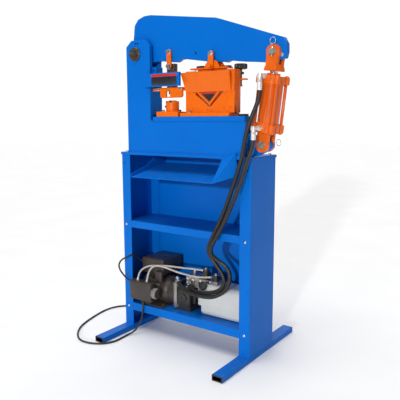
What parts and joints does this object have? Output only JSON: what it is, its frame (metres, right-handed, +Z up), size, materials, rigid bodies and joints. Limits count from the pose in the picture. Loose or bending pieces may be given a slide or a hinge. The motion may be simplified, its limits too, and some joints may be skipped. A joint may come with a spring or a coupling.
{
  "type": "hydraulic ironworker machine",
  "caption": "Hydraulic ironworker: pivoted beam drives a punch and a notching shear from a clevis cylinder, on a sheet-metal stand with a pump unit.",
  "frame": {"origin": "on the floor, under the middle of the machine without its power cord", "axes": "+X to the right of the operator, +Y away from the operator, +Z up"},
  "size_m": [1.0924, 0.6757, 1.494],
  "materials": {
    "blue_paint": "gloss powder coat",
    "orange_paint": "gloss paint",
    "black_plastic": "satin",
    "tool_steel": "dark ground steel",
    "zinc": "bright plated",
    "motor_paint": "dark grey-brown satin",
    "cast_alloy": "cast",
    "tank_plastic": "milky plastic",
    "rubber": "hose cover",
    "grey_plastic": "conduit"
  },
  "bodies": {
    "frame": {"back_panel": "blue_paint", "bottom_shelf": "blue_paint", "cable_loop": "rubber", "capacitor_box": "motor_paint", "chip_tray": "blue_paint", "conduit_left": "grey_plastic", "conduit_right": "grey_plastic", "control_box": "motor_paint", "cylinder_lug": "blue_paint", "die_base": "orange_paint", "die_holder": "orange_paint", "foot_caps": "black_plastic", "frame_spacers": "blue_paint", "front_frame_plate": "blue_paint", "hopper_plate": "orange_paint", "hose_lower": "rubber", "hose_upper": "rubber", "left_foot": "blue_paint", "left_side_panel": "blue_paint", "middle_shelf": "blue_paint", "motor": "motor_paint", "pivot_pin": "tool_steel", "power_cord": "rubber", "power_cord_coil": "rubber", "power_plug": "black_plastic", "pump_adaptor": "cast_alloy", "pump_block": "cast_alloy", "pump_elbows": "zinc", "punch_guard": "blue_paint", "rear_frame_plate": "blue_paint", "reservoir": "tank_plastic", "right_foot": "blue_paint", "right_side_panel": "blue_paint", "shear_base": "orange_paint", "shear_front_plate": "orange_paint", "shear_posts": "orange_paint", "shear_rear_plate": "orange_paint", "stand_top_plate": "blue_paint", "stripper": "orange_paint", "table_plate": "blue_paint", "tank_cap": "black_plastic", "valve_block": "cast_alloy"},
    "beam": {"beam": "blue_paint", "link_bolts": "zinc"},
    "cylinder": {"cylinder_base_cap": "orange_paint", "cylinder_head_cap": "orange_paint", "cylinder_barrel": "orange_paint", "tie_rods": "orange_paint", "bottom_pin": "zinc", "cylinder_fittings": "zinc"},
    "rod": {"piston_rod": "zinc", "rod_clevis": "orange_paint", "top_pin": "zinc"},
    "punch_ram": {"punch_ram": "tool_steel"},
    "punch_link": {"punch_link": "orange_paint"},
    "shear_knife": {"shear_knife": "orange_paint"},
    "shear_link": {"shear_link": "orange_paint"},
    "hold_down": {"hold_down_knob": "black_plastic", "hold_down_screw": "tool_steel"},
    "switch_knob": {"switch_knob": "tool_steel"}
  },
  "joints": [
    {"name": "beam_swing", "type": "hinge", "parent": "frame", "child": "beam", "pos_m": [-0.32745, -0.0545, 1.324], "axis": [0, -1, 0], "range_deg": [0, 8.3]},
    {"name": "cylinder_tilt", "type": "hinge", "parent": "frame", "child": "cylinder", "pos_m": [0.32725, -0.0545, 0.928], "axis": [0, -1, 0], "range_deg": [0, 2.2]},
    {"name": "rod_slide", "type": "slide", "parent": "cylinder", "child": "rod", "axis": [0.1166, 0, 0.9932], "range_m": [0, 0.1016]},
    {"name": "punch_ram_slide", "type": "slide", "parent": "frame", "child": "punch_ram", "axis": [0, 0, 1], "range_m": [0, 0.027]},
    {"name": "punch_link_swing", "type": "hinge", "parent": "beam", "child": "punch_link", "pos_m": [-0.14645, -0.076, 1.324], "axis": [0, 1, 0], "range_deg": [0, 7.05]},
    {"name": "shear_knife_slide", "type": "slide", "parent": "frame", "child": "shear_knife", "axis": [0, 0, 1], "range_m": [0, 0.0605]},
    {"name": "shear_link_swing", "type": "hinge", "parent": "beam", "child": "shear_link", "pos_m": [0.08155, -0.08, 1.301], "axis": [0, 1, 0], "range_deg": [0, 8.25]},
    {"name": "hold_down_turn", "type": "hinge", "parent": "frame", "child": "hold_down", "pos_m": [0.18555, -0.015, 1.236], "axis": [0, 0, 1], "continuous": true},
    {"name": "switch_turn", "type": "hinge", "parent": "frame", "child": "switch_knob", "pos_m": [-0.22245, -0.112, 0.215], "axis": [1, 0, 0], "range_deg": [0, 90]}
  ],
  "couplings": [
    {"joint": "cylinder_tilt", "follows": "beam_swing", "ratio": 0.19339},
    {"joint": "rod_slide", "follows": "beam_swing", "m_per_rad": 0.69297},
    {"joint": "punch_ram_slide", "follows": "beam_swing", "m_per_rad": 0.18067},
    {"joint": "punch_link_swing", "follows": "beam_swing", "ratio": 0.82514},
    {"joint": "shear_knife_slide", "follows": "beam_swing", "m_per_rad": 0.40937},
    {"joint": "shear_link_swing", "follows": "beam_swing", "ratio": 0.96999}
  ]
}
